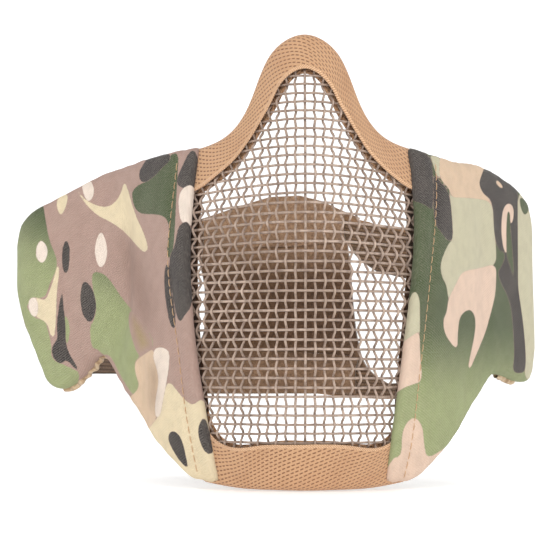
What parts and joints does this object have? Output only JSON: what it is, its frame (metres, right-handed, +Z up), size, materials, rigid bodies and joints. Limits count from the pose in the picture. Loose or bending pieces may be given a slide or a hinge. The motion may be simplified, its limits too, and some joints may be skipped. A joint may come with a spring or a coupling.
{
  "type": "half face mask",
  "caption": "Half face mask: formed woven-wire front, webbing bindings, padded camouflage cheeks with folding ear wings, and an elastic rear harness.",
  "frame": {"origin": "middle of the face opening, between the two wing fold lines, level with the middle of the mask's height", "axes": "+X to the right seen from the front, +Y towards the back of the head, +Z up; the mask faces -Y"},
  "size_m": [0.2109, 0.1908, 0.1658],
  "materials": {
    "painted_wire": "matt sand paint on woven steel wire",
    "tan_webbing": "matt coyote nylon webbing",
    "camouflage_twill": "matt printed twill",
    "foam": "open-cell foam",
    "brown_lining": "brushed brown lining cloth",
    "edge_tape": "soft rolled edge",
    "tan_thread": "polyester sewing thread",
    "brown_elastic": "woven elastic",
    "brown_plastic": "moulded acetal"
  },
  "bodies": {
    "face_piece": {"mesh_panel": "painted_wire", "nose_binding": "tan_webbing", "chin_band": "tan_webbing", "left_cheek_cover": "camouflage_twill", "left_cheek_foam": "foam", "left_cheek_lining": "brown_lining", "left_topstitch": "tan_thread", "left_fold_seam": "camouflage_twill", "left_upper_strap": "brown_elastic", "left_lower_strap": "brown_elastic", "right_cheek_cover": "camouflage_twill", "right_cheek_foam": "foam", "right_cheek_lining": "brown_lining", "right_topstitch": "tan_thread", "right_fold_seam": "camouflage_twill", "right_upper_strap": "brown_elastic", "right_lower_strap": "brown_elastic"},
    "left_wing": {"left_wing_cover": "camouflage_twill", "left_wing_foam": "foam", "left_wing_lining": "brown_lining", "left_wing_hem": "edge_tape"},
    "right_wing": {"right_wing_cover": "camouflage_twill", "right_wing_foam": "foam", "right_wing_lining": "brown_lining", "right_wing_hem": "edge_tape"},
    "rear_harness": {"rear_patch": "brown_lining"},
    "left_upper_adjuster": {"left_upper_slider": "brown_plastic"},
    "left_lower_adjuster": {"left_lower_slider": "brown_plastic"},
    "right_upper_adjuster": {"right_upper_slider": "brown_plastic"},
    "right_lower_adjuster": {"right_lower_slider": "brown_plastic"}
  },
  "joints": [
    {"name": "left_wing_fold", "type": "hinge", "parent": "face_piece", "child": "left_wing", "pos_m": [-0.0695, 0.009, 0], "axis": [0, 0, 1], "range_deg": [-30, 5], "stiffness_Nm_per_rad": 0.04, "deforming": ["left_upper_strap", "left_lower_strap"]},
    {"name": "right_wing_fold", "type": "hinge", "parent": "face_piece", "child": "right_wing", "pos_m": [0.0695, 0.009, 0], "axis": [0, 0, -1], "range_deg": [-5, 30], "stiffness_Nm_per_rad": 0.04, "deforming": ["right_upper_strap", "right_lower_strap"]},
    {"name": "harness_stretch", "type": "slide", "parent": "face_piece", "child": "rear_harness", "axis": [0, 1, 0], "range_m": [0, 0.03], "stiffness_N_per_m": 200},
    {"name": "left_upper_slider_travel", "type": "slide", "parent": "face_piece", "child": "left_upper_adjuster", "axis": [0.8553, 0.4801, 0.1946], "range_m": [-0.008, 0.003]},
    {"name": "left_lower_slider_travel", "type": "slide", "parent": "face_piece", "child": "left_lower_adjuster", "axis": [0.7436, 0.6683, -0.0224], "range_m": [-0.008, 0.003]},
    {"name": "right_upper_slider_travel", "type": "slide", "parent": "face_piece", "child": "right_upper_adjuster", "axis": [-0.8695, 0.4695, 0.1531], "range_m": [-0.008, 0.01]},
    {"name": "right_lower_slider_travel", "type": "slide", "parent": "face_piece", "child": "right_lower_adjuster", "axis": [-0.6164, 0.7809, -0.1015], "range_m": [-0.008, 0.01]}
  ]
}
